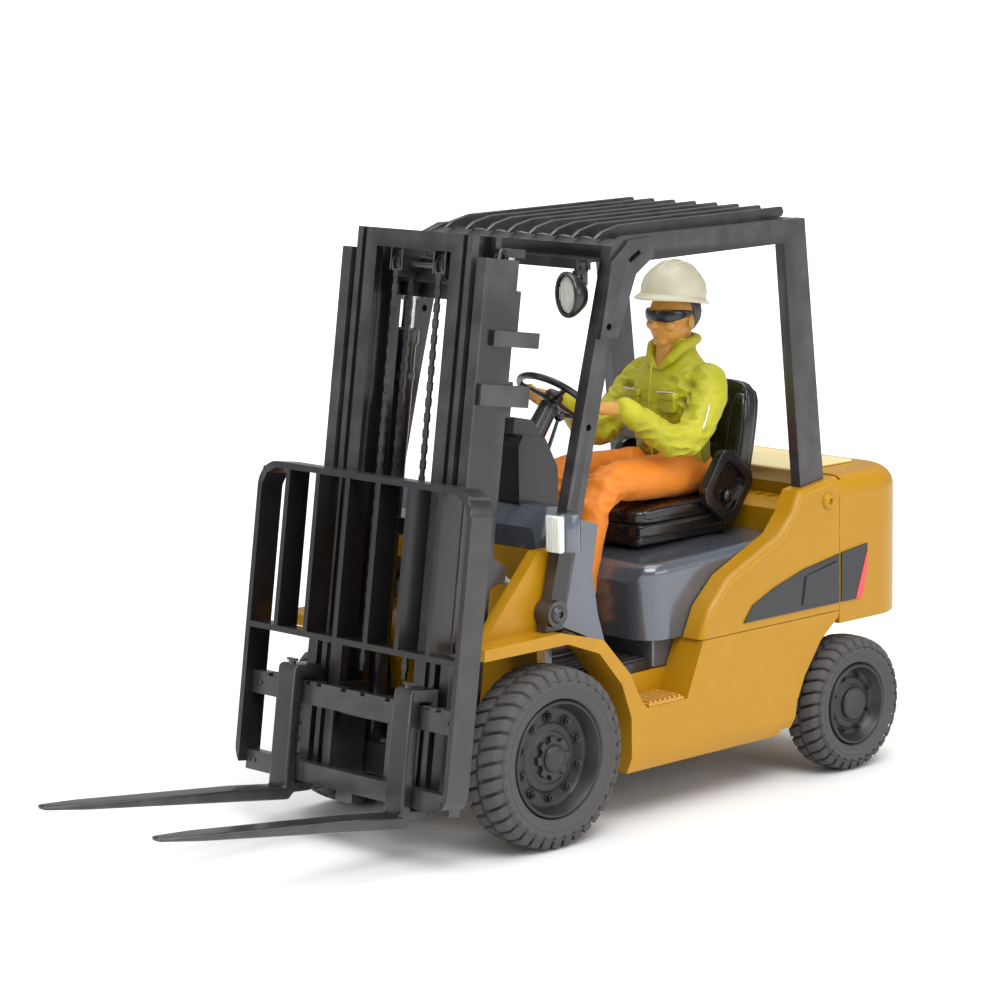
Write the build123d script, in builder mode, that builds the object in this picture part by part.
"""Toy forklift: a 1:25 counterbalance truck with a two-stage tilting mast and a seated driver.

Millimetres, +Z up, the truck faces -Y and its left side is +X. The origin is on the ground, under the
middle of the model's length. Stations ("y") in this file are measured back from the front axle; the body
planes below add the axle's place. The mast is drawn upright about the front axle, on planes that lean back.
"""
import os
from math import cos, pi, radians, sin

from build123d import *

os.makedirs("parts", exist_ok=True)

# ---- driving dimensions ------------------------------------------------------------------------------
wheelbase = 64.0
front_radius, front_tread = 13.0, 7.6      # tyre outer radius and width
rear_radius, rear_tread = 10.3, 6.6
front_rim_r, rear_rim_r = 8.5, 6.3
body_half = 21.2                           # painted body sides
tyre_outer_x = body_half + 1.9             # outer sidewalls
guard_half = body_half - 1.6               # outer faces of the overhead guard
guard_top = 84.7
guard_front_y, guard_rear_y = 14.6, 54.8
rear_face_y = 80.0                         # back of the counterweight
seam_z = 24.9                              # lower frame meets the upper body
floor_z = 22.5
fork_length = 41.8                         # blade, from the shank's front face
fork_width, fork_thick = 3.8, 1.8
fork_centre_x = 12.2
mast_lean_deg = 8.29                       # leaning back as it stands
mast_front, mast_back = -15.2, -8.8        # outer rails, from the axle in the upright mast
rail_out_x = 14.8
mast_foot, outer_mast_top, inner_mast_top = -6.4, 68.8, 71.8
lift_stroke = 58.0                         # of each stage
rest_front, shank_front = -20.9, -21.3     # load backrest and fork shank front faces
blade_low = -10.4                          # underside of the fork blade at its heel
pin_gap = 0.05                             # radial running clearance
slide_gap = 0.15
eye_gap = 0.3                              # radial play of the tilt rods on their pins
steer_x = tyre_outer_x - 9.6               # kingpins
hub_front, hub_rear = tyre_outer_x - 8.6, tyre_outer_x - 7.8   # inner faces of the rims
hub_gap = 0.3                              # between a rim and what carries its stub
wall_gap = 0.2                             # between the body's own panels

# ---- where things stand ------------------------------------------------------------------------------
lean = radians(mast_lean_deg)
fork_tip_y = (shank_front - fork_length) * cos(lean) + blade_low * sin(lean)
axle_y = -(fork_tip_y + rear_face_y) / 2   # the front axle's own place, so the origin is mid-length
rear_axle_y = wheelbase


def side(x):
    """Upright plane facing left, sketched in (station, height)."""
    return Plane(origin=(x, axle_y, 0), x_dir=(0, 1, 0), z_dir=(1, 0, 0))


def front(y):
    """Upright plane facing forward, sketched in (x, height)."""
    return Plane(origin=(0, axle_y + y, 0), x_dir=(1, 0, 0), z_dir=(0, -1, 0))


def level(z):
    """Level plane, sketched in (x, station)."""
    return Plane(origin=(0, axle_y, z), x_dir=(1, 0, 0), z_dir=(0, 0, 1))


mast_pivot = (0, axle_y, front_radius)
mast_up = (0, sin(lean), cos(lean))
mast_aft = (0, cos(lean), -sin(lean))


def mast_level(z):
    o = tuple(mast_pivot[i] + z * mast_up[i] for i in range(3))
    return Plane(origin=o, x_dir=(1, 0, 0), z_dir=mast_up)


def mast_side(x):
    return Plane(origin=(x, mast_pivot[1], mast_pivot[2]), x_dir=mast_aft, z_dir=(1, 0, 0))


def mast_face(y):
    o = tuple(mast_pivot[i] + y * mast_aft[i] for i in range(3))
    return Plane(origin=o, x_dir=(1, 0, 0), z_dir=tuple(-c for c in mast_aft))


def slab(plane, points, depth, radius=0.0, mode=Mode.ADD):
    """Prism on a closed outline, with its corners rounded if a radius is given."""
    with BuildSketch(plane) as outline:
        with BuildLine():
            Polyline(*points, close=True)
        make_face()
        if radius:
            fillet(outline.vertices(), radius)
    extrude(outline.sketch, amount=depth, dir=plane.z_dir, mode=mode)


def rod(plane, centre, radius, depth, mode=Mode.ADD):
    with BuildSketch(plane) as disc:
        with Locations(centre):
            Circle(radius)
    extrude(disc.sketch, amount=depth, dir=plane.z_dir, mode=mode)


def save(built, name):
    built.part.label = name
    export_step(built.part, f"parts/{name}.step")


sides = (("left", 1), ("right", -1))
lever_places = ((-3.6, 1.2), (-5.2, 0.8), (8.4, 1.6))   # x and aft lean of each hand lever


def lever_plane(x, aft):
    return Plane(origin=(x, axle_y + 11.2, 51.0), x_dir=(1, 0, 0), z_dir=(0, aft, 3.2))


# ---- lower frame: skirts, fenders, steps, bulkhead and cross members ---------------------------------
fender_under = [(16.1, 16.0), (14.2, 21.2), (9.7, 26.4), (3.5, 28.7), (-12.8, 28.7)]
fender_over = [(-12.8, 30.3), (2.0, 30.5), (10.6, 28.2), (16.0, 22.4), (18.2, 18.2), (19.4, 16.9)]
step_low, step_rear = (27.8, 16.9), (31.3, seam_z)
rear_arch = [(61.6, seam_z), (61.4, 24.0), (57.4, 21.0), (53.7, 16.1), (52.0, 12.5), (51.1, 7.6)]
skirt = [(16.1, 7.6), *fender_under, *fender_over, step_low, step_rear, *rear_arch]
# inner faces of the skirts, and of their skin at the rear arch
skirt_in, arch_in = body_half - 5.8, body_half - 0.7
tilt_anchor = (9.2, 30.8)
barrel_way, barrel_way_r = (tilt_anchor[0] - 5.4, tilt_anchor[1] + 3.3), 3.2   # hole that a barrel swings in
with BuildPart() as lower_frame:
    for s in (1, -1):
        slab(side(s * skirt_in), skirt, s * (body_half - skirt_in))
        slab(front(16.0), [(s * body_half, 7.6), (s * body_half, 10.1), (s * (body_half - 1.1), 7.6)], -38,
             mode=Mode.SUBTRACT)
        slab(side(s * (skirt_in + 0.8)), [(17.6, 9.2), (17.6, 15.6), (28.8, 15.6), (32.3, 23.5), (50, 23.5),
                                          (50, 9.2)],
             s * (body_half - skirt_in - 2.2), mode=Mode.SUBTRACT)
        slab(level(7.0), [(0, 49), (s * arch_in, 49), (s * arch_in, 62.5), (0, 62.5)], 17.0,
             mode=Mode.SUBTRACT)
        slab(side(s * (skirt_in - 0.1)), [(-9.5, 30.0), (-4.6, 30.0), (4.4, 30.0), (5.6, 41.6), (1.6, 41.6)],
             s * 2.0)
    slab(side(-skirt_in), [(3.0, 17.2), (3.0, 41.4), (4.6, 41.4), (4.6, 20.6), (30, 20.6), (30, 17.2)],
         2 * skirt_in)
    slab(side(-skirt_in), [(16.1, 9.0), (18.0, 9.0), (18.0, 17.4), (16.1, 17.4)], 2 * skirt_in)
    slab(side(-skirt_in), [(47.5, 9.0), (49.0, 9.0), (49.0, seam_z), (47.5, seam_z)], 2 * skirt_in)
    slab(side(-6.5), [(49.0, 14.0), (61.6, 14.0), (61.6, seam_z), (49.0, seam_z)], 13)
    for s in (1, -1):
        rod(side(s * 11.6), barrel_way, barrel_way_r, s * 4.0, mode=Mode.SUBTRACT)
        slab(side(s * 6.4), [(3.0, 15.0), (3.0, 17.4), (4.6, 17.4), (4.6, 15.0)], s * 3.0)
        # screw posts, and the tilt cylinders' rear pins
        for y, top in ((21, 17.3), (44.5, 20.0)):
            rod(level(9.0), (s * 12, y), 1.5, top - 9.0)
            rod(level(9.0), (s * 12, y), 0.45, 7.3, mode=Mode.SUBTRACT)
        slab(level(19.0), [(s * 10, 43.0), (s * 14, 43.0), (s * 14, 47.6), (s * 10, 47.6)], 1.2)
        rod(side(s * 11.0), tilt_anchor, 0.7, s * 3.6)
        slab(side(s * 11.0), [(4.5, 28.4), (10.6, 29.4), (10.6, 32.2), (4.5, 33.2)], s * 0.7)
save(lower_frame, "lower_frame")

with BuildPart() as base_plate:
    x = skirt_in - 0.1
    slab(level(7.6), [(-x, 18.1), (x, 18.1), (x, 47.4), (-x, 47.4)], 1.4)
    for x in (-12, 12):
        for y in (21, 44.5):
            rod(level(7.6), (x, y), 1.0, 0.7, mode=Mode.SUBTRACT)
            rod(level(7.6), (x, y), 0.5, 1.4, mode=Mode.SUBTRACT)
save(base_plate, "base_plate")

with BuildPart() as base_screws:
    for x in (-12, 12):
        for y in (21, 44.5):
            rod(level(7.7), (x, y), 0.95, 0.6)
            rod(level(8.3), (x, y), 0.45, 8.0)
            slab(level(7.7), [(x - 0.7, y - 0.12), (x + 0.7, y - 0.12), (x + 0.7, y + 0.12),
                              (x - 0.7, y + 0.12)],
                 0.3, mode=Mode.SUBTRACT)
            slab(level(7.7), [(x - 0.12, y - 0.7), (x + 0.12, y - 0.7), (x + 0.12, y + 0.7),
                              (x - 0.12, y + 0.7)],
                 0.3, mode=Mode.SUBTRACT)
save(base_screws, "base_screws")

with BuildPart() as step_treads:
    for s in (1, -1):
        x0, x1 = s * (skirt_in + 0.1), s * (body_half - 0.2)
        slab(level(16.9), [(x0, 20.0), (x1, 20.0), (x1, 27.4), (x0, 27.4)], 0.4)
        for k in range(7):
            y = 20.4 + k
            slab(level(17.3), [(x0 + s * 0.3, y), (x1 - s * 0.3, y), (x1 - s * 0.3, y + 0.5),
                               (x0 + s * 0.3, y + 0.5)],
                 0.35)
save(step_treads, "step_treads")

cab_in = skirt_in - wall_gap
with BuildPart() as cab_floor:
    x = cab_in
    slab(level(floor_z - 1.9), [(-x, 4.8), (x, 4.8), (x, 26.2), (-x, 26.2)], 1.5)
    x = cab_in - 0.4
    slab(level(floor_z - 0.4), [(-x, 5.4), (x, 5.4), (x, 25.8), (-x, 25.8)], 0.4)
save(cab_floor, "cab_floor")

# ---- cowl, instruments, column and controls ----------------------------------------------------------
column_foot, wheel_centre = (12.6, 47.6), (22.4, 59.9)
column_axis = Vector(0, wheel_centre[0] - column_foot[0], wheel_centre[1] - column_foot[1])
column = Plane(origin=(0, axle_y + column_foot[0], column_foot[1]), x_dir=(1, 0, 0), z_dir=column_axis)
column_length = column_axis.length - 1.5
with BuildPart() as instrument_panel:
    slab(side(-6.0), [(4.2, 47.4), (4.2, 55.6), (5.2, 57.2), (9.6, 56.2), (12.0, 51.8), (12.0, 45.0),
                      (10.9, 45.0),
                      (9.0, 47.0)], 17.0, radius=0.25)
    slab(side(1.5), [(4.6, 57.1), (5.0, 59.6), (8.6, 58.8), (10.2, 56.4), (9.4, 56.0)], 8.0, radius=0.25)
    slab(side(-2.4), [(11.0, 44.2), (11.5, 50.6), (16.0, 52.6), (15.0, 49.2), (13.4, 45.0)], 4.8, radius=0.25)
    with BuildSketch(column):
        Circle(1.9)
    extrude(amount=column_length, taper=2)
    with BuildSketch(column.offset(column_length)):
        Circle(0.55)
    extrude(amount=1.6)
    for x, aft in lever_places:
        rod(lever_plane(x, aft), (0, 0), 0.35, 8.2, mode=Mode.SUBTRACT)
save(instrument_panel, "instrument_panel")

with BuildPart() as control_levers:
    for x, aft in lever_places:
        rod(lever_plane(x, aft), (0, 0), 0.35, 8.2)
        with Locations(lever_plane(x, aft).offset(8.6).location):
            Sphere(0.85)
save(control_levers, "control_levers")

with BuildPart() as front_cowl:
    slab(side(-cab_in), [(3.2, 41.5), (2.6, 44.6), (4.6, 47.4), (9.0, 47.0), (11.4, 44.6), (10.6, 40.0),
                       (6.4, 31.0),
                       (6.0, 22.5), (4.6, 22.5), (4.6, 41.5)], 2 * cab_in)
    for s in (1, -1):
        slab(side(s * cab_in), [(5.9, 30.4), (10.8, 28.3), (15.6, 24.2), (13.4, 31.0), (12.4, 37.4),
                              (13.6, 44.0),
                              (9.4, 45.4), (5.9, 41.5)], s * 2.1)
        slab(side(s * 10.9), [(4.0, 27.4), (12.0, 27.4), (12.0, 33.6), (8.0, 39.6), (4.0, 39.6)],
             s * (cab_in - 10.9),
             mode=Mode.SUBTRACT)
    add(instrument_panel.part, mode=Mode.SUBTRACT)
save(front_cowl, "front_cowl")

wheel_r = 5.6
wheel_plane = column.offset(column_length + 0.3)
with BuildPart(wheel_plane) as steering_wheel:
    with Locations((0, 0, 1.2)):
        Torus(wheel_r, 0.5)
    Cylinder(1.35, 1.9, align=(Align.CENTER, Align.CENTER, Align.MIN))
    for k in range(3):
        with Locations(Rotation(0, 0, 90 + 120 * k)):
            with Locations((wheel_r / 2, 0, 1.0)):
                Box(wheel_r, 0.9, 0.5)
    with BuildSketch(wheel_plane):
        Circle(0.55 + pin_gap)
    extrude(amount=1.4, mode=Mode.SUBTRACT)
    with Locations((wheel_r, 0, 2.0)):
        Cylinder(0.35, 1.8)
    with Locations((wheel_r, 0, 3.4)):
        Sphere(0.75)
save(steering_wheel, "steering_wheel")

with BuildPart() as foot_pedals:
    for x, w in ((-6.5, 2.2), (-2.0, 2.6), (4.2, 3.4)):
        slab(side(x - w / 2), [(9.6, 24.6), (12.4, 26.8), (12.7, 26.4), (9.9, 24.2)], w)
        slab(side(x - 0.3), [(6.2, 24.0), (6.2, 24.9), (10.8, 25.5), (11.0, 25.1)], 0.6)
save(foot_pedals, "foot_pedals")

# ---- engine hood, upper body and counterweight -------------------------------------------------------
hood_half, hood_top = body_half - 4.0, 36.2
with BuildPart() as engine_hood:
    slab(side(-hood_half), [(24.2, seam_z + 0.1), (23.8, 33.6), (25.2, hood_top), (54.6, hood_top + 0.9),
                            (54.6, seam_z + 0.1)], 2 * hood_half)
    uprights = [e for e in engine_hood.edges() if e.bounding_box().size.X < 0.01
                and e.center().Y < axle_y + 26 and e.bounding_box().size.Z > 5]
    fillet(uprights, 4.5)
    crown = engine_hood.faces().filter_by(lambda f: f.normal_at().Z > 0.99).edges()
    fillet([e for e in crown if e.center().Y < axle_y + 54], 1.6)
    slab(side(-hood_half + 1.4), [(27.0, seam_z + 0.1), (27.0, 34.0), (53.2, 35.2), (53.2, seam_z + 0.1)],
         2 * (hood_half - 1.4), mode=Mode.SUBTRACT)
save(engine_hood, "engine_hood")

with BuildPart() as hood_base:
    x, x_in = cab_in, cab_in - 1.6
    slab(level(20.7), [(-x, 27.0), (-x + 1.8, 26.4), (x - 1.8, 26.4), (x, 27.0), (x, 47.3), (-x, 47.3)],
         seam_z - 20.7)
    slab(level(20.7), [(-x_in, 28.4), (x_in, 28.4), (x_in, 45.8), (-x_in, 45.8)], seam_z - 20.7,
         mode=Mode.SUBTRACT)
save(hood_base, "hood_base")

panel_in = hood_half + wall_gap
shoulder = ((53.0, 44.2), (61.6, 45.4))
crest = [(30.9, 25.0), (33.0, 29.4), (37.4, 33.4), (43.0, 35.8), (48.5, 38.1), (51.2, 41.0), *shoulder]


def crest_z(y):
    """Height of the body's shoulder, which the rear pillars stand on."""
    (y0, z0), (y1, z1) = shoulder
    return z0 + (y - y0) * (z1 - z0) / (y1 - y0)


with BuildPart() as upper_body:
    for s in (1, -1):
        slab(side(s * panel_in), [*crest, (61.6, 25.0)], s * (body_half - panel_in))
    slab(side(-panel_in), [(54.8, 25.0), (54.8, 40.6), (57.6, 41.6), (61.6, 41.6), (61.6, 25.0)],
         2 * panel_in)
    top_edges = [e for e in upper_body.edges() if abs(abs(e.center().X) - body_half) < 0.01
                 and e.center().Z > 25.5 and e.center().Y < axle_y + 61.0]
    fillet(top_edges, 1.2)
    for k in range(9):
        x = -9.6 + 2.4 * k
        slab(level(41.6), [(x - 0.6, 58.2), (x + 0.6, 58.2), (x + 0.6, 60.8), (x - 0.6, 60.8)], -0.6,
             mode=Mode.SUBTRACT)
    slab(side(-13.6), [(54.0, 27.0), (54.0, 24.0), (60.2, 24.0), (60.2, 39.4), (56.4, 39.4), (56.4, 27.0)],
         27.2,
         mode=Mode.SUBTRACT)
save(upper_body, "upper_body")

tow_pin_r = 0.8
with BuildPart() as counterweight:
    with BuildSketch(level(22.9)):
        with BuildLine():
            Polyline((-body_half, 61.7), (body_half, 61.7), (body_half, rear_face_y),
                     (-body_half, rear_face_y),
                     close=True)
        make_face()
        fillet(vertices().group_by(Axis.Y)[-1], 9.0)
    extrude(amount=45.3 - 22.9)
    rim = [e for e in counterweight.faces().sort_by(Axis.Z)[-1].edges() if e.center().Y > axle_y + 62]
    fillet(rim, 3.0)
    slab(level(8.6), [(-6.5, 66.6), (6.5, 66.6), (6.5, rear_face_y - 4.0), (-6.5, rear_face_y - 4.0)], 15.0,
         radius=1.5)
    slab(side(-body_half + 1.2), [(61.0, 43.2), (61.0, 46.0), (63.4, 46.0), (63.4, 43.2)],
         2 * (body_half - 1.2), mode=Mode.SUBTRACT)
    slab(level(27.0), [(-2.6, rear_face_y - 4.0), (2.6, rear_face_y - 4.0), (2.6, rear_face_y + 1.0),
                       (-2.6, rear_face_y + 1.0)], 3.0, mode=Mode.SUBTRACT)
    rod(level(22.9), (0, rear_face_y - 1.8), tow_pin_r, 10.1, mode=Mode.SUBTRACT)
save(counterweight, "counterweight")

with BuildPart() as radiator_cover:
    slab(level(43.2), [(-13.0, 61.8), (13.0, 61.8), (13.0, 63.3), (-13.0, 63.3)], 2.2)
    slab(level(45.3), [(-13.0, 60.9), (13.0, 60.9), (13.0, rear_face_y - 5.4), (-13.0, rear_face_y - 5.4)],
         0.5, radius=0.6)
save(radiator_cover, "radiator_cover")

wedge = [(39.9, 26.2), (41.9, 28.6), (46.8, 30.6), (53.2, 32.4), (61.5, 33.7), (61.5, 26.2)]
with BuildPart() as body_badges:
    for s in (1, -1):
        slab(side(s * body_half), wedge, s * 0.25)
        slab(side(s * body_half), [(52.8, 27.0), (53.6, 31.4), (60.6, 32.7), (60.6, 27.0)], s * 0.5)
        slab(side(s * body_half), [(61.9, 26.2), (61.9, 33.8), (68.0, 34.5), (68.0, 31.2), (65.6, 26.2)],
             s * 0.25)
save(body_badges, "body_badges")

# ---- overhead guard ----------------------------------------------------------------------------------
pillar_foot = (1.0, 30.6)
head_lamp, lamp_toe_in = (guard_half - 3.0, 77.0), 18.0


def lamp_face(s, ahead=0.0):
    """Upright plane of one head lamp, turned towards the middle, centred on the lamp."""
    turn = radians(lamp_toe_in)
    aim = Vector(-s * sin(turn), -cos(turn), 0)
    at = Vector(s * head_lamp[0], axle_y + 11.4, head_lamp[1]) + aim * ahead
    return Plane(origin=at, x_dir=(cos(turn), -s * sin(turn), 0), z_dir=aim)


with BuildPart() as overhead_guard:
    for s in (1, -1):
        slab(side(s * (guard_half - 1.8)),
             [(pillar_foot[0] - 0.4, pillar_foot[1]), (4.0, pillar_foot[1]), (12.4, 63.0), (17.4, 81.0),
              (51.0, 81.3),
              (54.6, crest_z(54.6)), (59.8, crest_z(59.8)), (guard_rear_y + 0.8, guard_top),
              (18.0, guard_top), (guard_front_y, 83.6),
              (9.0, 62.6)], s * 1.8)
        slab(side(s * guard_half), [(11.6, 70.8), (14.2, 81.6), (17.6, 84.2), (22.6, 84.4), (22.6, 81.6),
                                    (19.0, 79.4),
                                    (15.2, 70.8)], s * 0.5)
        rod(side(s * (guard_half - 2.2)), (2.4, 33.0), 1.9, s * 2.9)
        rod(side(s * (guard_half - 3.0)), (13.4, 72.4), 0.5, s * 4.0, mode=Mode.SUBTRACT)
        rod(side(s * (guard_half - 3.0)), (9.6, 58.5), 0.5, s * 4.0, mode=Mode.SUBTRACT)
        slab(side(s * (guard_half - 3.0)), [(17.4, 81.6), (19.6, 82.8), (20.0, 82.2), (17.8, 81.0)], s * 4.0,
             mode=Mode.SUBTRACT)
    slab(side(-guard_half + 1.8), [(14.8, 81.4), (14.8, 83.6), (17.2, 84.2), (17.2, 81.4)],
         2 * guard_half - 3.6)
    slab(side(-guard_half + 1.8), [(52.4, 82.4), (52.4, guard_top), (55.0, guard_top), (55.0, 82.4)],
         2 * guard_half - 3.6)
    # lamp bar and its two hangers
    slab(side(-guard_half + 1.8), [(11.6, 80.4), (11.6, 81.9), (14.9, 81.9), (14.9, 81.4), (12.2, 81.4),
                                   (12.2, 80.4)],
         2 * guard_half - 3.6)
    for s in (1, -1):
        slab(lamp_face(s), [(-0.6, 1.2), (0.6, 1.2), (0.6, 4.4), (-0.6, 4.4)], -0.8)
save(overhead_guard, "overhead_guard")

slat_spacing = 2 * guard_half / 9
with BuildPart() as roof_slats:
    for k in range(8):
        x = (k - 3.5) * slat_spacing
        slab(side(x - 0.35), [(15.2, 84.25), (16.9, 85.3), (20.4, 86.0), (55.2, 86.2), (55.6, 85.4),
                              (55.2, 84.75),
                              (50.4, 84.75), (50.4, 83.4), (22.4, 83.2), (18.0, 84.25)], 0.7)
save(roof_slats, "roof_slats")

with BuildPart() as guard_bolts:
    for s in (1, -1):
        rod(side(s * (guard_half + 0.7)), (2.4, 33.0), 1.25, s * 0.7)
        rod(side(s * body_half), (59.0, 42.0), 1.2, s * 0.7)
save(guard_bolts, "guard_bolts")

with BuildPart() as head_lamp_housings:
    for s in (1, -1):
        rod(lamp_face(s), (0, 0), 3.3, 1.6)
        rod(lamp_face(s, 1.0), (0, 0), 2.9, 0.6, mode=Mode.SUBTRACT)
save(head_lamp_housings, "head_lamp_housings")
with BuildPart() as head_lamp_lenses:
    for s in (1, -1):
        rod(lamp_face(s, 1.0), (0, 0), 2.85, 0.8)
save(head_lamp_lenses, "head_lamp_lenses")

with BuildPart() as marker_lamp_housings:
    for s in (1, -1):
        with BuildSketch(level(41.8)):
            with Locations((s * (guard_half + 1.3), 4.2)):
                Circle(1.6)
                Rectangle(2.4, 3.6)
        extrude(amount=5.4)
        slab(side(s * (guard_half - 1.9)), [(1.0, 41.5), (9, 41.5), (9, 47.5), (4, 47.5)], s * 1.95,
             mode=Mode.SUBTRACT)
save(marker_lamp_housings, "marker_lamp_housings")
with BuildPart() as marker_lamp_lenses:
    for s in (1, -1):
        x0, x1 = s * (guard_half - 0.8), s * (guard_half + 2.3)
        slab(level(41.9), [(x0, 1.4), (x1, 1.4), (x1, 2.4), (x0, 2.4)], 5.2)
save(marker_lamp_lenses, "marker_lamp_lenses")

# ---- seat --------------------------------------------------------------------------------------------
with BuildPart() as seat_base:
    slab(level(hood_top + 0.95), [(-8.0, 31.5), (8.0, 31.5), (8.0, 51.5), (-8.0, 51.5)], 1.3, radius=1.0)
save(seat_base, "seat_base")
with BuildPart() as seat_cushion:
    slab(side(-9.2), [(31.6, 38.5), (30.6, 39.8), (31.0, 41.6), (33.4, 42.8), (50.2, 41.6), (52.0, 38.5)],
         18.4)
    fillet([e for e in seat_cushion.edges() if e.bounding_box().size.X < 0.01 and e.center().Z > 41.0], 1.0)
save(seat_cushion, "seat_cushion")
with BuildPart() as seat_back:
    slab(side(-8.6), [(52.3, 41.6), (52.6, 39.0), (54.4, 39.6), (58.6, 52.0), (57.6, 58.6), (56.2, 59.6),
                      (54.6, 59.0),
                      (54.0, 52.0)], 17.2)
    fillet([e for e in seat_back.edges() if e.bounding_box().size.X < 0.01 and e.center().Z > 45], 0.7)
    for k in range(4):
        slab(side(-5.5 + 3.2 * k), [(57.6, 44.0), (60, 44.0), (60, 58), (57.9, 58)], 1.4, mode=Mode.SUBTRACT)
save(seat_back, "seat_back")
loop_c = (48.6, 44.5)
with BuildPart() as hip_restraints:
    for s in (1, -1):
        ring = [(loop_c[0] - 6.2, loop_c[1] - 1.2), (loop_c[0] - 0.6, loop_c[1] + 6.6),
                (loop_c[0] + 6.2, loop_c[1] + 0.8), (loop_c[0] + 0.4, loop_c[1] - 6.5)]
        slab(side(s * 9.3), ring, s * 1.5, radius=2.4)
        hole = [(loop_c[0] + (p[0] - loop_c[0]) * 0.66, loop_c[1] + (p[1] - loop_c[1]) * 0.66) for p in ring]
        slab(side(s * 9.9), hole, s * 2, radius=1.4, mode=Mode.SUBTRACT)
        rod(side(s * 9.8), (loop_c[0] + 0.2, loop_c[1] - 1.6), 0.9, s * 0.7)
save(hip_restraints, "hip_restraints")

# ---- driver ------------------------------------------------------------------------------------------
def limb(points, radii):
    """Rounded limb through body points (x, station, height) with a radius at each."""
    at = [Vector(x, axle_y + y, z) for x, y, z in points]
    for p, r in zip(at, radii):
        with Locations(p):
            Sphere(r)
    for a, b, ra, rb in zip(at, at[1:], radii, radii[1:]):
        span = b - a
        with Locations(Plane(origin=a, z_dir=span).location):
            if abs(ra - rb) < 1e-6:
                Cylinder(ra, span.length, align=(Align.CENTER, Align.CENTER, Align.MIN))
            else:
                Cone(ra, rb, span.length, align=(Align.CENTER, Align.CENTER, Align.MIN))


torso = Plane(origin=(0, axle_y + 47.4, 46.0), x_dir=(1, 0, 0), z_dir=(0, 0.06, 1))
with BuildPart() as driver_jacket:
    for rise, a, b in ((0.0, 5.8, 4.2), (8.5, 7.0, 4.8), (14.0, 7.2, 4.2), (18.2, 2.6, 2.4)):
        with BuildSketch(torso.offset(rise)):
            Ellipse(a, b)
    loft(ruled=True)
    for s in (1, -1):
        limb([(s * 7.2, 48.6, 58.4), (s * 8.4, 40.6, 52.2), (s * 6.3, 31.4, 57.6)], [2.6, 2.2, 1.5])
save(driver_jacket, "driver_jacket")

head = (0, axle_y + 47.6, 69.2)
with BuildPart() as driver_head:
    with Locations(head):
        Sphere(4.1)
        with Locations((0, 1.2, -4.4)):
            Cylinder(2.1, 4.4)
    add(driver_jacket.part, mode=Mode.SUBTRACT)
save(driver_head, "driver_head")

hat = Plane(origin=(0, axle_y + 48.0, 72.3), x_dir=(1, 0, 0), z_dir=(0, 0.16, 1))
with BuildPart() as driver_hard_hat:
    with Locations(hat.location):
        Sphere(5.0)
        with Locations((0, -0.3, 0.35)):
            Cylinder(5.5, 0.7)
        with Locations((0, 0, 3.5)):
            Box(1.5, 6.4, 3.6)
        with Locations((0, 0, -5)):
            Box(14, 14, 10, mode=Mode.SUBTRACT)
    add(driver_head.part, mode=Mode.SUBTRACT)
save(driver_hard_hat, "driver_hard_hat")

with BuildPart() as driver_glasses:
    with Locations((0, head[1], 69.9)):
        Cylinder(4.5, 1.7)
        with Locations((0, 4.2, 0)):
            Box(12, 6.5, 2, mode=Mode.SUBTRACT)
    add(driver_head.part, mode=Mode.SUBTRACT)
    add(driver_hard_hat.part, mode=Mode.SUBTRACT)
save(driver_glasses, "driver_glasses")

with BuildPart() as driver_hands:
    limb([(6.2, 31.0, 57.8), (4.4, 26.0, 58.2)], [1.2, 1.2])
    limb([(-6.2, 31.0, 57.8), (-6.3, 23.4, 61.4)], [1.2, 1.2])
    add(driver_jacket.part, mode=Mode.SUBTRACT)
    with Locations(wheel_plane.location):
        with Locations((0, 0, 1.2)):
            Torus(wheel_r, 0.85, mode=Mode.SUBTRACT)
save(driver_hands, "driver_hands")

with BuildPart() as driver_trousers:
    for s in (1, -1):
        limb([(s * 3.0, 47.8, 45.6), (s * 5.0, 27.0, 46.4), (s * 5.0, 21.4, 28.6)], [3.5, 2.9, 2.0])
    for other in (driver_jacket, seat_cushion, seat_back, engine_hood):
        add(other.part, mode=Mode.SUBTRACT)
save(driver_trousers, "driver_trousers")

with BuildPart() as driver_boots:
    for s in (1, -1):
        slab(side(s * 5.0 - 1.7), [(23.2, floor_z), (23.2, 27.0), (19.0, 27.0), (17.4, 25.2), (14.4, 24.4),
                                      (14.0, floor_z)], 3.4, radius=0.3)
    add(driver_trousers.part, mode=Mode.SUBTRACT)
save(driver_boots, "driver_boots")

# ---- axles and wheels --------------------------------------------------------------------------------
stub_front, stub_rear = 1.5, 1.0
with BuildPart() as drive_axle:
    tube_end = hub_front - hub_gap
    rod(side(-tube_end), (0, front_radius), 2.6, 2 * tube_end)
    rod(side(-5.2), (0, front_radius), 4.4, 10.4)
    for s in (1, -1):
        rod(side(s * tube_end), (0, front_radius), stub_front, s * 6.2)
        slab(side(s * 6.4), [(1.0, 12.0), (1.0, 15.0), (4.6, 15.0), (4.6, 12.0)], s * 3.0)
save(drive_axle, "drive_axle")

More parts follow.
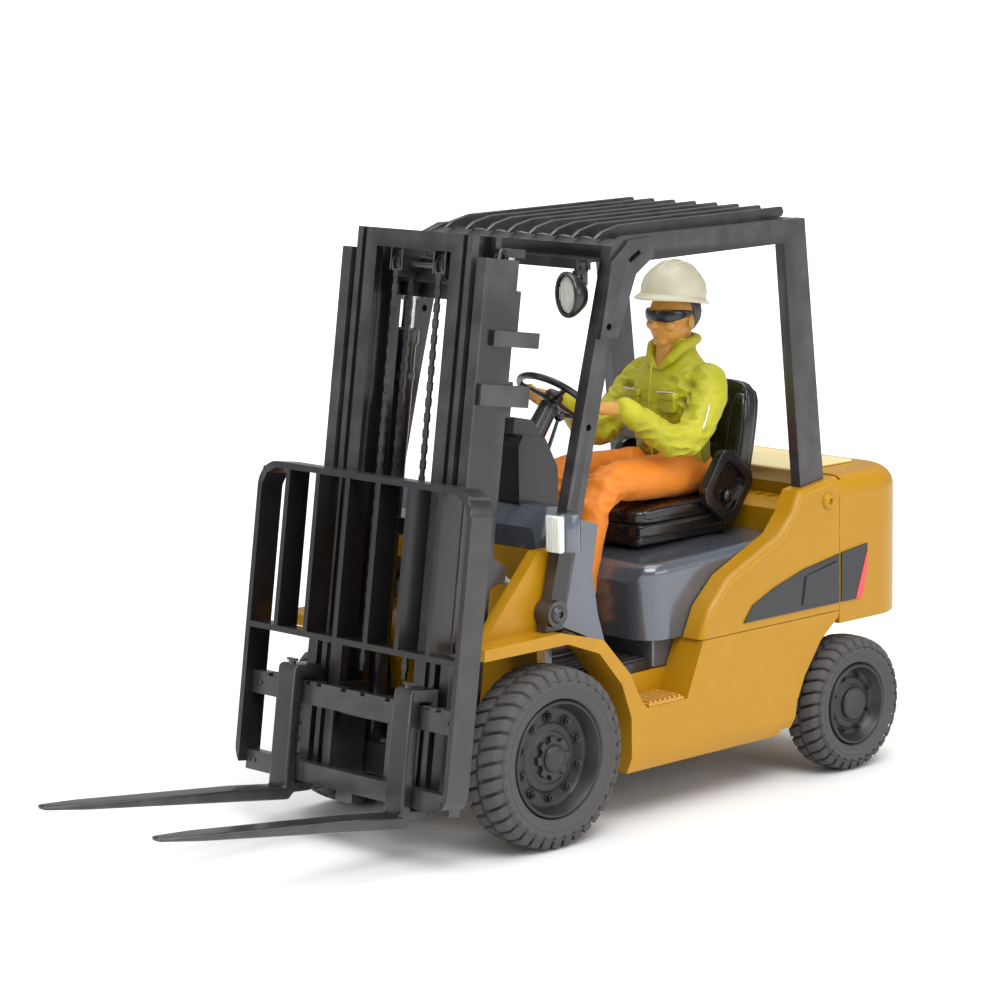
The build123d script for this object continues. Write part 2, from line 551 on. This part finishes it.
with BuildPart() as steer_axle:
    slab(side(-steer_x), [(rear_axle_y - 1.5, 8.7), (rear_axle_y + 1.5, 8.7), (rear_axle_y + 1.5, 11.9),
                          (rear_axle_y - 1.5, 11.9)], 2 * steer_x)
    for s in (1, -1):
        rod(level(8.7), (s * steer_x, rear_axle_y), 1.5, 3.2)
        slab(level(9.3), [(s * (steer_x - 2.4), rear_axle_y - 3), (s * (steer_x + 3), rear_axle_y - 3),
                          (s * (steer_x + 3), rear_axle_y + 3), (s * (steer_x - 2.4), rear_axle_y + 3)], 2.0,
             mode=Mode.SUBTRACT)
        rod(level(8.7), (s * steer_x, rear_axle_y), 0.6, 3.2)
    slab(side(-3.0), [(rear_axle_y - 1.5, 11.9), (rear_axle_y - 1.5, 22.8), (rear_axle_y + 2.6, 22.8),
                      (rear_axle_y + 2.6, 11.9)], 6.0)
save(steer_axle, "steer_axle")

for name, s in sides:
    with BuildPart() as knuckle:
        rod(level(9.4), (s * steer_x, rear_axle_y), 1.4, 1.8)
        rod(side(s * (steer_x + 0.9)), (rear_axle_y, rear_radius), stub_rear, s * 5.6)
        rod(level(9.4), (s * steer_x, rear_axle_y), 0.6 + pin_gap, 1.8, mode=Mode.SUBTRACT)
    save(knuckle, f"{name}_steer_knuckle")


def wheel(prefix, s, y, radius, rim_r, tread, lugs, nuts, hub_x):
    """Tyre, rim, nuts and hub of one wheel on the side s; hub_x is the rim's inner face."""
    axis = Axis((0, axle_y + y, radius), (1, 0, 0))
    xi, xo = tyre_outer_x - tread, tyre_outer_x
    stub = stub_front if prefix == "front" else stub_rear
    tyre_ring = [(xi + 1.0, rim_r), (xi, rim_r + 1.2), (xi, radius - 2.0), (xi + 0.5, radius - 0.5),
                 (xi + 1.2, radius), (xo - 1.2, radius), (xo - 0.5, radius - 0.5), (xo, radius - 2.0),
                 (xo, rim_r + 1.2), (xo - 1.0, rim_r)]
    with BuildPart() as tyre:
        with BuildSketch(front(y)):
            with BuildLine():
                Polyline(*[(s * x, radius + r) for x, r in tyre_ring], close=True)
            make_face()
        revolve(axis=axis)
        for half, x0, x1 in ((0, xi - 1, xi + tread * 0.42), (0.5, xo - tread * 0.42, xo + 1)):
            with BuildSketch(side(s * x0)):
                with Locations((y, radius)):
                    with PolarLocations(radius - 0.45, lugs, start_angle=half * 360 / lugs):
                        Rectangle(1.6, 2 * pi * radius / lugs * 0.3)
            extrude(amount=s * (x1 - x0), mode=Mode.SUBTRACT)
    save(tyre, f"{prefix}_{'left' if s > 0 else 'right'}_tyre")

    wall = 0.7
    dish = 2.8 if prefix == "front" else 2.2
    rim_ring = [(xi + 1.0, rim_r - wall), (xi + 1.0, rim_r), (xo - 1.0, rim_r), (xo - 0.4, rim_r - 0.3),
                (xo - 0.4, rim_r - wall), (xo - dish, rim_r - wall), (xo - dish, rim_r * 0.62),
                (xo - dish + 0.5, rim_r * 0.55),
                (xo - dish + 0.5, stub + pin_gap), (hub_x, stub + pin_gap), (hub_x, stub + 1.3),
                (xo - dish - 1.0, stub + 1.3), (xo - dish - 1.0, rim_r - wall)]
    with BuildPart() as rim:
        with BuildSketch(front(y)):
            with BuildLine():
                Polyline(*[(s * x, radius + r) for x, r in rim_ring], close=True)
            make_face()
        revolve(axis=axis)
        with BuildSketch(side(s * (xo - dish))):
            with Locations((y, radius)):
                with PolarLocations(rim_r * 0.74, nuts):
                    RegularPolygon(rim_r * 0.085, 6)
        extrude(amount=s * 0.8)
        rod(side(s * (xo - dish + 0.5)), (y, radius), rim_r * 0.36, s * 1.0)
        rod(side(s * (xo - dish + 1.5)), (y, radius), rim_r * 0.22, s * 0.5)
    save(rim, f"{prefix}_{'left' if s > 0 else 'right'}_rim")


for _, s in sides:
    wheel("front", s, 0, front_radius, front_rim_r, front_tread, 36, 10, hub_front)
    wheel("rear", s, rear_axle_y, rear_radius, rear_rim_r, rear_tread, 32, 8, hub_rear)

# ---- outer mast --------------------------------------------------------------------------------------
lug_y, lug_z = -6.9, 25.2
cylinder_x, cylinder_y, cylinder_r = 9.5, -6.2, 1.5
with BuildPart() as outer_mast:
    for s in (1, -1):
        slab(mast_level(mast_foot), [(s * 12.9, mast_front), (s * rail_out_x, mast_front),
                                     (s * rail_out_x, mast_back),
                                     (s * 12.9, mast_back), (s * 12.9, mast_back - 1.0),
                                     (s * 13.7, mast_back - 1.0),
                                     (s * 13.7, mast_front + 1.2), (s * 12.9, mast_front + 1.2)],
             outer_mast_top - mast_foot)
        # rear brackets and the side plates they carry
        slab(mast_side(s * rail_out_x), [(-14.6, 48.5), (-5.2, 48.5), (-5.2, 51.5), (-14.6, 51.5)], s * 0.7)
        slab(mast_side(s * rail_out_x), [(-13.0, 56.8), (-4.2, 56.8), (-4.2, 59.0), (-13.0, 59.0)], s * 0.7)
        slab(mast_side(s * 14.2), [(mast_back - 0.1, 57), (-7.9, 57), (-7.9, 64.6), (mast_back - 0.1, 64.6)],
             s * 0.6)
        slab(mast_side(s * 14.2), [(mast_back - 0.1, 47), (-7.9, 47), (-7.9, 52.0), (mast_back - 0.1, 52.0)],
             s * 0.6)
        # tilt lug
        slab(mast_side(s * 13.8), [(mast_back - 0.1, lug_z - 2.2), (mast_back - 0.1, lug_z + 2.2),
                                   (lug_y + 0.9, lug_z + 1.0),
                                   (lug_y + 0.9, lug_z - 1.0)], s * 1.0)
        rod(mast_side(s * 12.3), (lug_y, lug_z), 0.6, s * 2.5)
        # bearing caps round the axle tube
        slab(mast_side(s * 11.2), [(mast_back - 0.4, -4.6), (mast_back - 0.4, 4.6), (1.2, 3.8), (3.6, 1.6),
                                   (3.6, -1.6),
                                   (1.2, -3.8)], s * 2.2)
        rod(mast_side(s * 11.1), (0, 0), 2.6 + pin_gap, s * 2.4, mode=Mode.SUBTRACT)
        # feet and clips for the lift cylinders
        slab(mast_level(-6.2), [(s * 8.3, mast_back), (s * 10.7, mast_back), (s * 10.7, -5.0),
                                (s * 8.3, -5.0)], 1.2)
        slab(mast_level(28.8), [(s * 8.6, mast_back), (s * 10.4, mast_back), (s * 10.4, -7.4),
                                (s * 8.6, -7.4)], 1.8)
    for z, h in ((-6.2, 4.6), (28.5, 2.4), (62.5, 2.6)):
        slab(mast_face(mast_back - 0.55), [(-13.4, z), (13.4, z), (13.4, z + h), (-13.4, z + h)], -1.1)
    for s in (1, -1):
        rod(mast_level(-5.0), (s * cylinder_x, cylinder_y), cylinder_r, 40.0, mode=Mode.SUBTRACT)
save(outer_mast, "outer_mast")

with BuildPart() as lift_cylinders:
    for s in (1, -1):
        rod(mast_level(-5.0), (s * cylinder_x, cylinder_y), cylinder_r, lift_stroke + 4.6)
        rod(mast_level(lift_stroke - 2.0), (s * cylinder_x, cylinder_y), cylinder_r + 0.3, 1.6)
        rod(mast_level(-4.0), (s * cylinder_x, cylinder_y), 0.9 + pin_gap, 70, mode=Mode.SUBTRACT)
save(lift_cylinders, "lift_cylinders")

# ---- inner mast --------------------------------------------------------------------------------------
inner_back = -9.6
chain_x = 4.4
sheave_y, sheave_z, sheave_r = -12.4, 67.0, 1.5
with BuildPart() as inner_mast:
    for s in (1, -1):
        slab(mast_level(mast_foot), [(s * 7.6, mast_front), (s * 9.9, mast_front),
                                     (s * 9.9, mast_front + 0.5),
                                     (s * 10.8, mast_front + 0.5), (s * 10.8, mast_front),
                                     (s * 11.8, mast_front),
                                     (s * 11.8, mast_front + 1.3), (s * 10.4, mast_front + 1.3),
                                     (s * 10.4, inner_back - 1.1), (s * 11.8, inner_back - 1.1),
                                     (s * 11.8, inner_back), (s * 7.6, inner_back),
                                     (s * 7.6, inner_back - 1.1),
                                     (s * 9.2, inner_back - 1.1), (s * 9.2, mast_front + 1.3),
                                     (s * 7.6, mast_front + 1.3)], inner_mast_top - mast_foot)
        # head plates over the piston rods
        slab(mast_level(69.2), [(s * 7.6, inner_back - 0.2), (s * 11.8, inner_back - 0.2),
                                (s * 11.8, cylinder_y + 1.4), (s * 7.6, cylinder_y + 1.4)], 1.2)
    for y, z, h in ((mast_front, 69.2, 2.6), (inner_back - 1.1, 64.6, 3.4), (inner_back - 1.1, mast_foot + 1,
                                                                             4.0)):
        slab(mast_face(y), [(-8.2, z), (8.2, z), (8.2, z + h), (-8.2, z + h)], -1.1)
    for s in (1, -1):
        box_x = s * chain_x
        slab(mast_face(mast_front + 1.0), [(box_x - 1.3, 66.0), (box_x - 1.0, 66.0), (box_x - 1.0, 69.6),
                                           (box_x - 1.3, 69.6)], -4.5)
        slab(mast_face(mast_front + 1.0), [(box_x + 1.0, 66.0), (box_x + 1.3, 66.0), (box_x + 1.3, 69.6),
                                           (box_x + 1.0, 69.6)], -4.5)
    rod(mast_side(-6), (sheave_y, sheave_z), 0.4 + pin_gap, 12, mode=Mode.SUBTRACT)
save(inner_mast, "inner_mast")

with BuildPart() as lift_pistons:
    for s in (1, -1):
        rod(mast_level(mast_foot + 3.0), (s * cylinder_x, cylinder_y), 0.9, 69.2 - mast_foot - 3.0)
save(lift_pistons, "lift_pistons")

with BuildPart() as chain_sheaves:
    for s in (1, -1):
        rod(mast_side(s * chain_x - 0.8), (sheave_y, sheave_z), sheave_r, 1.6)
    rod(mast_side(-5.6), (sheave_y, sheave_z), 0.4, 11.2)
save(chain_sheaves, "chain_sheaves")

with BuildPart() as lift_chains:
    for s in (1, -1):
        for y in (sheave_y - sheave_r, sheave_y + sheave_r):
            slab(mast_side(s * chain_x - 0.5), [(y - 0.2, 9.0), (y + 0.2, 9.0), (y + 0.2, sheave_z),
                                                (y - 0.2, sheave_z)], 1.0)
        rod(mast_side(s * chain_x - 0.5), (sheave_y, sheave_z), sheave_r + 0.2, 1.0)
        rod(mast_side(s * chain_x - 0.5), (sheave_y, sheave_z), sheave_r + 0.05, 1.0, mode=Mode.SUBTRACT)
save(lift_chains, "lift_chains")

# ---- fork carriage, backrest and forks ---------------------------------------------------------------
bar_front, bar_back = -19.4, -17.4
upper_bar, lower_bar = (3.5, 6.8), (-7.6, -4.8)
post_in = 21.4
with BuildPart() as fork_carriage:
    for z0, z1 in (upper_bar, lower_bar):
        slab(mast_face(bar_front), [(-post_in, z0), (post_in, z0), (post_in, z1), (-post_in, z1)],
             bar_front - bar_back)
    for x in (-17.6, -15.2, -9.6, -7.2, -2.0, 2.0, 7.2, 9.6, 15.2, 17.6):
        slab(mast_face(bar_front), [(x - 0.5, 6.3), (x + 0.5, 6.3), (x + 0.5, 7.0), (x - 0.5, 7.0)],
             bar_front - bar_back, mode=Mode.SUBTRACT)
    for s in (1, -1):
        slab(mast_side(s * 5.7), [(bar_back - 0.1, -7.6), (-11.0, -7.2), (-11.0, 7.2), (bar_back - 0.1, 6.8)],
             s * 1.5)
        slab(mast_side(s * 7.1), [(-13.6, -6.6), (-11.2, -6.6), (-11.2, 6.8), (-13.6, 6.8)], s * 1.9)
    slab(mast_face(-16.6), [(-6.0, 2.8), (6.0, 2.8), (6.0, 5.8), (-6.0, 5.8)], -1.2)
    slab(mast_face(bar_front), [(-1.7, -9.0), (1.7, -9.0), (1.7, -7.5), (-1.7, -7.5)], bar_front - bar_back)
save(fork_carriage, "fork_carriage")

rest_low, rest_mid, rest_top = -7.9, 13.1, 37.3
rest_half, bar_gap = 22.3, 6.36
with BuildPart() as load_backrest:
    with BuildSketch(mast_face(rest_front)):
        with BuildLine():
            Polyline((-rest_half, rest_low), (-rest_half, rest_top), (rest_half, rest_top),
                     (rest_half, rest_low),
                     close=True)
        make_face()
        fillet(vertices().group_by(Axis.Z)[-1], 3.8)
        with BuildLine():
            Polyline((-post_in, rest_low - 1), (-post_in, rest_top - 0.9), (post_in, rest_top - 0.9),
                     (post_in, rest_low - 1), close=True)
        make_face(mode=Mode.SUBTRACT)
    extrude(amount=-4.0)
    for s in (1, -1):
        slab(mast_face(rest_front), [(s * 18.6, rest_top - 0.9), (s * post_in, rest_top - 0.9),
                                     (s * post_in, rest_top - 3.7), (s * (post_in - 0.9), rest_top - 1.8)],
                                     -4.0)
    slab(mast_face(rest_front), [(-post_in, rest_mid), (post_in, rest_mid), (post_in, rest_mid + 0.85),
                                 (-post_in, rest_mid + 0.85)], -3.8)
    for k in range(6):
        x = (k - 2.5) * bar_gap
        slab(mast_face(rest_front), [(x - 0.42, rest_mid), (x + 0.42, rest_mid), (x + 0.42, rest_top - 0.5),
                                     (x - 0.42, rest_top - 0.5)], -3.8)
save(load_backrest, "load_backrest")

shank_top = 9.0
tip = shank_front - fork_length
for name, s in sides:
    with BuildPart() as fork:
        back = shank_front + fork_thick
        hook = bar_back + slide_gap
        slab(mast_side(s * fork_centre_x - fork_width / 2),
             [(tip, blade_low), (tip, blade_low + 0.7), (shank_front - 8, blade_low + fork_thick),
              (shank_front, blade_low + fork_thick), (shank_front, shank_top - 0.5),
              (shank_front + 0.5, shank_top),
              (hook + 1.1, shank_top), (hook + 1.1, 5.4), (hook, 5.4), (hook, upper_bar[1] + slide_gap),
              (back, upper_bar[1] + slide_gap), (back, lower_bar[0] - slide_gap), (hook,
                                                                                   lower_bar[0] - slide_gap),
              (hook, -6.4), (hook + 1.1, -6.4), (hook + 1.1, -9.2), (back, -9.4), (back - 0.8, blade_low)],
             fork_width)
        with BuildSketch(mast_level(blade_low - 0.1)):
            for e in (1, -1):
                with BuildLine():
                    Polyline((s * fork_centre_x + e * fork_width / 2, tip + 7.0),
                             (s * fork_centre_x + e * (fork_width / 2 + 1), tip + 7.0),
                             (s * fork_centre_x + e * (fork_width / 2 + 1), tip - 1),
                             (s * fork_centre_x + e * 0.9, tip - 1), (s * fork_centre_x + e * 0.9, tip),
                             close=True)
                make_face()
        extrude(amount=3, mode=Mode.SUBTRACT)
    save(fork, f"{name}_fork")

# ---- tilt cylinders ----------------------------------------------------------------------------------
eye = (lug_y * cos(lean) + lug_z * sin(lean), front_radius + lug_z * cos(lean) - lug_y * sin(lean))
anchor = tilt_anchor
reach = Vector(0, eye[0] - anchor[0], eye[1] - anchor[1])
for name, s in sides:
    x_mid = s * 13.1
    line = Plane(origin=(x_mid, axle_y + anchor[0], anchor[1]), x_dir=(1, 0, 0), z_dir=reach)
    with BuildPart() as tilt_barrel:
        with BuildSketch(line):
            Circle(1.0)
        extrude(amount=9.6)
        rod(side(x_mid - 1.2), anchor, 1.3, 2.4)
        with BuildSketch(line.offset(1.9)):
            Circle(0.5 + pin_gap)
        extrude(amount=9, mode=Mode.SUBTRACT)
        rod(side(x_mid - 1.3), anchor, 0.7 + pin_gap, 2.6, mode=Mode.SUBTRACT)
    save(tilt_barrel, f"{name}_tilt_barrel")
    with BuildPart() as tilt_rod:
        with BuildSketch(line.offset(4.6)):
            Circle(0.5)
        extrude(amount=reach.length - 4.6 - 1.0)
        rod(side(x_mid - 0.55), eye, 1.35, 1.1)
        rod(side(x_mid - 0.8), eye, 0.6 + eye_gap, 1.6, mode=Mode.SUBTRACT)
    save(tilt_rod, f"{name}_tilt_rod")
